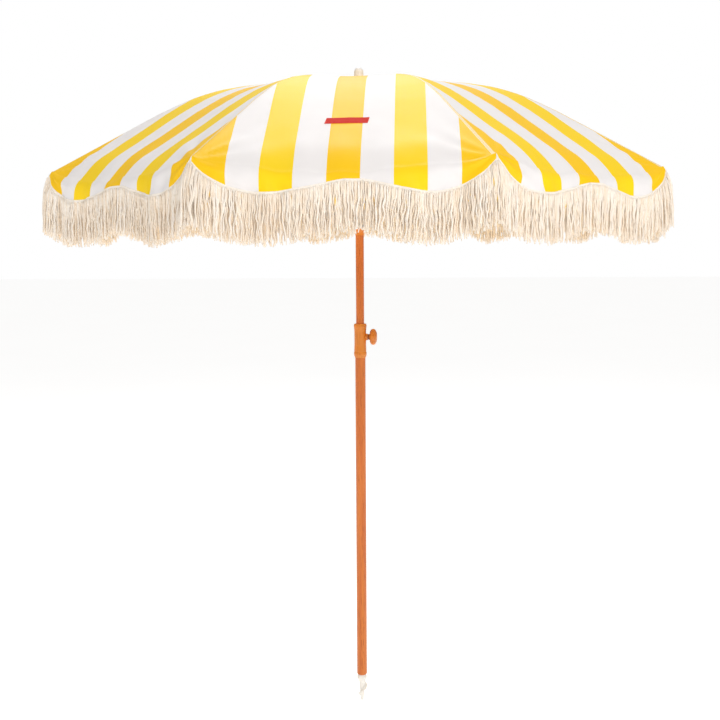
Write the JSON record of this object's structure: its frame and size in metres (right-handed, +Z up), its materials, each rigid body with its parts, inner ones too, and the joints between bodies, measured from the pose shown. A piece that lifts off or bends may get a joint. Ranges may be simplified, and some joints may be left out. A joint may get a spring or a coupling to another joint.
{
  "type": "beach umbrella",
  "caption": "Ribbed beach umbrella with a fringed striped canopy that folds and tilts, on a two-part wooden pole with a clamp knob and a sand spike.",
  "frame": {"origin": "point of the sand spike, at the bottom centre of the object", "axes": "+Z up the pole; +X towards the clamp knob; -Y is the front, the middle of the gore with the label"},
  "size_m": [1.664, 1.664, 1.988],
  "materials": {
    "pole_wood": "clear varnished hardwood",
    "clamp_wood": "clear varnished turned hardwood",
    "spike_plastic": "moulded, smooth",
    "finial_plastic": "moulded, smooth",
    "hub_plastic": "moulded, fine texture",
    "knuckle_steel": "zinc plated",
    "screw_steel": "zinc plated",
    "insert_brass": "machined",
    "rib_steel": "white powder coat",
    "shaft_metal": "white powder coat",
    "canopy_fabric": "woven canvas, yellow and white stripes",
    "fringe_cotton": "natural cotton strands",
    "label_fabric": "plain red woven strip"
  },
  "bodies": {
    "lower_post": {"ground_spike": "spike_plastic", "lower_pole": "pole_wood", "clamp_sleeve": "clamp_wood", "clamp_insert": "insert_brass"},
    "clamp_pad": {"pressure_pad": "hub_plastic"},
    "clamp_handle": {"clamp_screw": "screw_steel", "clamp_knob": "clamp_wood"},
    "upper_post": {"upper_pole": "pole_wood", "pole_collar": "clamp_wood", "tilt_fork": "knuckle_steel", "tilt_pin": "screw_steel", "button_spring": "screw_steel"},
    "tilt_release": {"tilt_button": "knuckle_steel"},
    "shaft": {"tilt_tongue": "knuckle_steel", "canopy_shaft": "shaft_metal", "top_hub": "hub_plastic", "finial": "finial_plastic"},
    "catch": {"runner_catch": "screw_steel"},
    "runner_slider": {"runner": "hub_plastic"},
    "rib_arm_1": {"rib_1": "rib_steel", "rib_fittings_1": "hub_plastic", "canopy_gore_1": "canopy_fabric"},
    "stretcher_arm_1": {"stretcher_1": "rib_steel"},
    "skirt_1": {"valance_1": "fringe_cotton"},
    "rib_arm_2": {"rib_2": "rib_steel", "rib_fittings_2": "hub_plastic", "canopy_gore_2": "canopy_fabric"},
    "stretcher_arm_2": {"stretcher_2": "rib_steel"},
    "skirt_2": {"valance_2": "fringe_cotton"},
    "rib_arm_3": {"rib_3": "rib_steel", "rib_fittings_3": "hub_plastic", "canopy_gore_3": "canopy_fabric"},
    "stretcher_arm_3": {"stretcher_3": "rib_steel"},
    "skirt_3": {"valance_3": "fringe_cotton"},
    "rib_arm_4": {"rib_4": "rib_steel", "rib_fittings_4": "hub_plastic", "canopy_gore_4": "canopy_fabric"},
    "stretcher_arm_4": {"stretcher_4": "rib_steel"},
    "skirt_4": {"valance_4": "fringe_cotton"},
    "rib_arm_5": {"rib_5": "rib_steel", "rib_fittings_5": "hub_plastic", "canopy_gore_5": "canopy_fabric"},
    "stretcher_arm_5": {"stretcher_5": "rib_steel"},
    "skirt_5": {"valance_5": "fringe_cotton"},
    "rib_arm_6": {"rib_6": "rib_steel", "rib_fittings_6": "hub_plastic", "canopy_gore_6": "canopy_fabric", "label": "label_fabric"},
    "stretcher_arm_6": {"stretcher_6": "rib_steel"},
    "skirt_6": {"valance_6": "fringe_cotton"},
    "rib_arm_7": {"rib_7": "rib_steel", "rib_fittings_7": "hub_plastic", "canopy_gore_7": "canopy_fabric"},
    "stretcher_arm_7": {"stretcher_7": "rib_steel"},
    "skirt_7": {"valance_7": "fringe_cotton"},
    "rib_arm_8": {"rib_8": "rib_steel", "rib_fittings_8": "hub_plastic", "canopy_gore_8": "canopy_fabric"},
    "stretcher_arm_8": {"stretcher_8": "rib_steel"},
    "skirt_8": {"valance_8": "fringe_cotton"}
  },
  "joints": [
    {"name": "pole_slide", "type": "slide", "parent": "lower_post", "child": "upper_post", "axis": [0, 0, 1], "range_m": [-0.25, 0.2]},
    {"name": "clamp_advance", "type": "slide", "parent": "lower_post", "child": "clamp_pad", "axis": [1, 0, 0], "range_m": [0, 0.0019]},
    {"name": "clamp_turn", "type": "hinge", "parent": "clamp_pad", "child": "clamp_handle", "pos_m": [0.031, 0, 1.174], "axis": [1, 0, 0], "range_deg": [0, 540]},
    {"name": "canopy_tilt", "type": "hinge", "parent": "upper_post", "child": "shaft", "pos_m": [0, 0, 1.534], "axis": [0, -1, 0], "range_deg": [0, 32]},
    {"name": "tilt_release_press", "type": "slide", "parent": "upper_post", "child": "tilt_release", "axis": [-1, 0, 0], "range_m": [0, 0.0025], "stiffness_N_per_m": 300, "springref_m": -0.004},
    {"name": "canopy_fold", "type": "slide", "parent": "shaft", "child": "runner_slider", "axis": [0, 0, 1], "range_m": [-0.23778, 0]},
    {"name": "catch_press", "type": "slide", "parent": "shaft", "child": "catch", "axis": [-1, 0, 0], "range_m": [0, 0.0038], "stiffness_N_per_m": 300, "springref_m": -0.003},
    {"name": "rib_hinge_1", "type": "hinge", "parent": "shaft", "child": "rib_arm_1", "pos_m": [0.02402, 0.00995, 1.91453], "axis": [-0.3827, 0.9239, 0], "range_deg": [0, 69.1], "deforming": ["canopy_gore_1"]},
    {"name": "stretcher_hinge_1", "type": "hinge", "parent": "runner_slider", "child": "stretcher_arm_1", "pos_m": [0.0216, 0.01447, 1.82001], "axis": [-0.3827, 0.9239, 0], "range_deg": [-39.08, 0]},
    {"name": "skirt_hinge_1", "type": "hinge", "parent": "rib_arm_1", "child": "skirt_1", "pos_m": [0.83149, 0.34442, 1.657], "axis": [-0.3827, 0.9239, 0], "range_deg": [-69.1, 0], "deforming": ["valance_1"]},
    {"name": "rib_hinge_2", "type": "hinge", "parent": "shaft", "child": "rib_arm_2", "pos_m": [0.00995, 0.02402, 1.91453], "axis": [-0.9239, 0.3827, 0], "range_deg": [0, 69.1], "deforming": ["canopy_gore_2"]},
    {"name": "stretcher_hinge_2", "type": "hinge", "parent": "runner_slider", "child": "stretcher_arm_2", "pos_m": [0.00505, 0.02551, 1.82001], "axis": [-0.9239, 0.3827, 0], "range_deg": [-39.08, 0]},
    {"name": "skirt_hinge_2", "type": "hinge", "parent": "rib_arm_2", "child": "skirt_2", "pos_m": [0.34442, 0.83149, 1.657], "axis": [-0.9239, 0.3827, 0], "range_deg": [-69.1, 0], "deforming": ["valance_2"]},
    {"name": "rib_hinge_3", "type": "hinge", "parent": "shaft", "child": "rib_arm_3", "pos_m": [-0.00995, 0.02402, 1.91453], "axis": [-0.9239, -0.3827, 0], "range_deg": [0, 69.1], "deforming": ["canopy_gore_3"]},
    {"name": "stretcher_hinge_3", "type": "hinge", "parent": "runner_slider", "child": "stretcher_arm_3", "pos_m": [-0.01447, 0.0216, 1.82001], "axis": [-0.9239, -0.3827, 0], "range_deg": [-39.08, 0]},
    {"name": "skirt_hinge_3", "type": "hinge", "parent": "rib_arm_3", "child": "skirt_3", "pos_m": [-0.34442, 0.83149, 1.657], "axis": [-0.9239, -0.3827, 0], "range_deg": [-69.1, 0], "deforming": ["valance_3"]},
    {"name": "rib_hinge_4", "type": "hinge", "parent": "shaft", "child": "rib_arm_4", "pos_m": [-0.02402, 0.00995, 1.91453], "axis": [-0.3827, -0.9239, 0], "range_deg": [0, 69.1], "deforming": ["canopy_gore_4"]},
    {"name": "stretcher_hinge_4", "type": "hinge", "parent": "runner_slider", "child": "stretcher_arm_4", "pos_m": [-0.02551, 0.00505, 1.82001], "axis": [-0.3827, -0.9239, 0], "range_deg": [-39.08, 0]},
    {"name": "skirt_hinge_4", "type": "hinge", "parent": "rib_arm_4", "child": "skirt_4", "pos_m": [-0.83149, 0.34442, 1.657], "axis": [-0.3827, -0.9239, 0], "range_deg": [-69.1, 0], "deforming": ["valance_4"]},
    {"name": "rib_hinge_5", "type": "hinge", "parent": "shaft", "child": "rib_arm_5", "pos_m": [-0.02402, -0.00995, 1.91453], "axis": [0.3827, -0.9239, 0], "range_deg": [0, 69.1], "deforming": ["canopy_gore_5"]},
    {"name": "stretcher_hinge_5", "type": "hinge", "parent": "runner_slider", "child": "stretcher_arm_5", "pos_m": [-0.0216, -0.01447, 1.82001], "axis": [0.3827, -0.9239, 0], "range_deg": [-39.08, 0]},
    {"name": "skirt_hinge_5", "type": "hinge", "parent": "rib_arm_5", "child": "skirt_5", "pos_m": [-0.83149, -0.34442, 1.657], "axis": [0.3827, -0.9239, 0], "range_deg": [-69.1, 0], "deforming": ["valance_5"]},
    {"name": "rib_hinge_6", "type": "hinge", "parent": "shaft", "child": "rib_arm_6", "pos_m": [-0.00995, -0.02402, 1.91453], "axis": [0.9239, -0.3827, 0], "range_deg": [0, 69.1], "deforming": ["canopy_gore_6", "label"]},
    {"name": "stretcher_hinge_6", "type": "hinge", "parent": "runner_slider", "child": "stretcher_arm_6", "pos_m": [-0.00505, -0.02551, 1.82001], "axis": [0.9239, -0.3827, 0], "range_deg": [-39.08, 0]},
    {"name": "skirt_hinge_6", "type": "hinge", "parent": "rib_arm_6", "child": "skirt_6", "pos_m": [-0.34442, -0.83149, 1.657], "axis": [0.9239, -0.3827, 0], "range_deg": [-69.1, 0], "deforming": ["valance_6"]},
    {"name": "rib_hinge_7", "type": "hinge", "parent": "shaft", "child": "rib_arm_7", "pos_m": [0.00995, -0.02402, 1.91453], "axis": [0.9239, 0.3827, 0], "range_deg": [0, 69.1], "deforming": ["canopy_gore_7"]},
    {"name": "stretcher_hinge_7", "type": "hinge", "parent": "runner_slider", "child": "stretcher_arm_7", "pos_m": [0.01447, -0.0216, 1.82001], "axis": [0.9239, 0.3827, 0], "range_deg": [-39.08, 0]},
    {"name": "skirt_hinge_7", "type": "hinge", "parent": "rib_arm_7", "child": "skirt_7", "pos_m": [0.34442, -0.83149, 1.657], "axis": [0.9239, 0.3827, 0], "range_deg": [-69.1, 0], "deforming": ["valance_7"]},
    {"name": "rib_hinge_8", "type": "hinge", "parent": "shaft", "child": "rib_arm_8", "pos_m": [0.02402, -0.00995, 1.91453], "axis": [0.3827, 0.9239, 0], "range_deg": [0, 69.1], "deforming": ["canopy_gore_8"]},
    {"name": "stretcher_hinge_8", "type": "hinge", "parent": "runner_slider", "child": "stretcher_arm_8", "pos_m": [0.02551, -0.00505, 1.82001], "axis": [0.3827, 0.9239, 0], "range_deg": [-39.08, 0]},
    {"name": "skirt_hinge_8", "type": "hinge", "parent": "rib_arm_8", "child": "skirt_8", "pos_m": [0.83149, -0.34442, 1.657], "axis": [0.3827, 0.9239, 0], "range_deg": [-69.1, 0], "deforming": ["valance_8"]}
  ],
  "couplings": [
    {"joint": "clamp_advance", "follows": "clamp_turn", "m_per_rad": 0.00019894},
    {"joint": "rib_hinge_1", "follows": "canopy_fold", "rad_per_m": -5.0572},
    {"joint": "stretcher_hinge_1", "follows": "canopy_fold", "rad_per_m": 2.8536},
    {"joint": "skirt_hinge_1", "follows": "canopy_fold", "rad_per_m": 5.0572},
    {"joint": "rib_hinge_2", "follows": "canopy_fold", "rad_per_m": -5.0572},
    {"joint": "stretcher_hinge_2", "follows": "canopy_fold", "rad_per_m": 2.8536},
    {"joint": "skirt_hinge_2", "follows": "canopy_fold", "rad_per_m": 5.0572},
    {"joint": "rib_hinge_3", "follows": "canopy_fold", "rad_per_m": -5.0572},
    {"joint": "stretcher_hinge_3", "follows": "canopy_fold", "rad_per_m": 2.8536},
    {"joint": "skirt_hinge_3", "follows": "canopy_fold", "rad_per_m": 5.0572},
    {"joint": "rib_hinge_4", "follows": "canopy_fold", "rad_per_m": -5.0572},
    {"joint": "stretcher_hinge_4", "follows": "canopy_fold", "rad_per_m": 2.8536},
    {"joint": "skirt_hinge_4", "follows": "canopy_fold", "rad_per_m": 5.0572},
    {"joint": "rib_hinge_5", "follows": "canopy_fold", "rad_per_m": -5.0572},
    {"joint": "stretcher_hinge_5", "follows": "canopy_fold", "rad_per_m": 2.8536},
    {"joint": "skirt_hinge_5", "follows": "canopy_fold", "rad_per_m": 5.0572},
    {"joint": "rib_hinge_6", "follows": "canopy_fold", "rad_per_m": -5.0572},
    {"joint": "stretcher_hinge_6", "follows": "canopy_fold", "rad_per_m": 2.8536},
    {"joint": "skirt_hinge_6", "follows": "canopy_fold", "rad_per_m": 5.0572},
    {"joint": "rib_hinge_7", "follows": "canopy_fold", "rad_per_m": -5.0572},
    {"joint": "stretcher_hinge_7", "follows": "canopy_fold", "rad_per_m": 2.8536},
    {"joint": "skirt_hinge_7", "follows": "canopy_fold", "rad_per_m": 5.0572},
    {"joint": "rib_hinge_8", "follows": "canopy_fold", "rad_per_m": -5.0572},
    {"joint": "stretcher_hinge_8", "follows": "canopy_fold", "rad_per_m": 2.8536},
    {"joint": "skirt_hinge_8", "follows": "canopy_fold", "rad_per_m": 5.0572}
  ]
}
